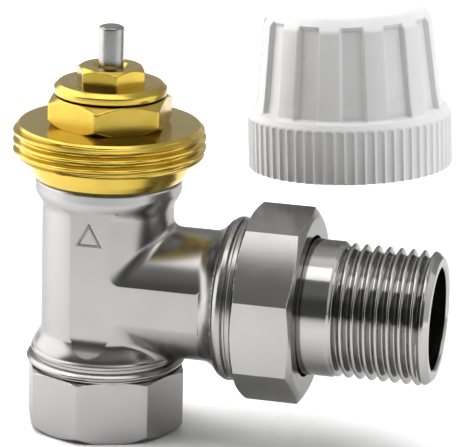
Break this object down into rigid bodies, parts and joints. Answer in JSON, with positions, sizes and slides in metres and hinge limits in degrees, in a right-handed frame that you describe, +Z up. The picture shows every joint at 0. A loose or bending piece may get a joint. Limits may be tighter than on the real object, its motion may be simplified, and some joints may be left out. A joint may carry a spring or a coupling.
{
  "type": "angle radiator valve",
  "caption": "Angle radiator valve with threaded inlet socket, union nut and tailpiece, sprung spindle under a brass threaded head, and a loose ribbed protective cap.",
  "frame": {"origin": "centre of the inlet socket's mouth, on the spindle axis", "axes": "+Z up the spindle axis towards the pin, +X out along the outlet axis towards the tailpiece"},
  "size_m": [0.0677, 0.0621, 0.0645],
  "materials": {
    "satin_nickel": "satin nickel plate on forged brass",
    "bright_nickel": "turned and nickel plated, bright",
    "brass": "machined, satin",
    "steel": "turned",
    "spring_steel": "drawn wire and strip",
    "rubber": "matt moulded rubber",
    "bush_plastic": "moulded",
    "white_plastic": "fine matt moulding"
  },
  "bodies": {
    "valve": {"valve_body": "satin_nickel", "head_collar": "brass", "collar_seal": "rubber", "insert_housing": "brass", "insert_seal": "rubber", "gland_nut": "brass", "pin_seal": "rubber", "stop_washer": "steel", "guide_bush": "bush_plastic", "spindle_seal": "rubber"},
    "spindle": {"drive_pin": "steel", "pin_clip": "spring_steel", "spindle_rod": "steel", "spring_plate": "steel", "spindle_clip": "spring_steel", "return_spring": "spring_steel", "valve_washer": "rubber", "washer_holder": "brass", "washer_locknut": "brass"},
    "tail": {"tailpiece": "bright_nickel", "tail_seal": "rubber"},
    "nut": {"union_nut": "bright_nickel"},
    "cap": {"protective_cap": "white_plastic"}
  },
  "joints": [
    {"name": "pin_push", "type": "slide", "parent": "valve", "child": "spindle", "axis": [0, 0, -1], "range_m": [0, 0.0035], "stiffness_N_per_m": 2500, "springref_m": -0.008, "deforming": ["return_spring"]},
    {"name": "tail_draw", "type": "slide", "parent": "valve", "child": "tail", "axis": [1, 0, 0], "range_m": [0, 0.00726]},
    {"name": "nut_turn", "type": "hinge", "parent": "tail", "child": "nut", "pos_m": [0.028, 0, 0.0223], "axis": [1, 0, 0], "range_deg": [0, 1440]},
    {"name": "cap_lift", "type": "slide", "parent": "valve", "child": "cap", "axis": [-0.4631, -0.4399, 0.7694], "range_m": [0, 0.0689]}
  ],
  "couplings": [
    {"joint": "tail_draw", "follows": "nut_turn", "m_per_rad": 0.00028875}
  ]
}
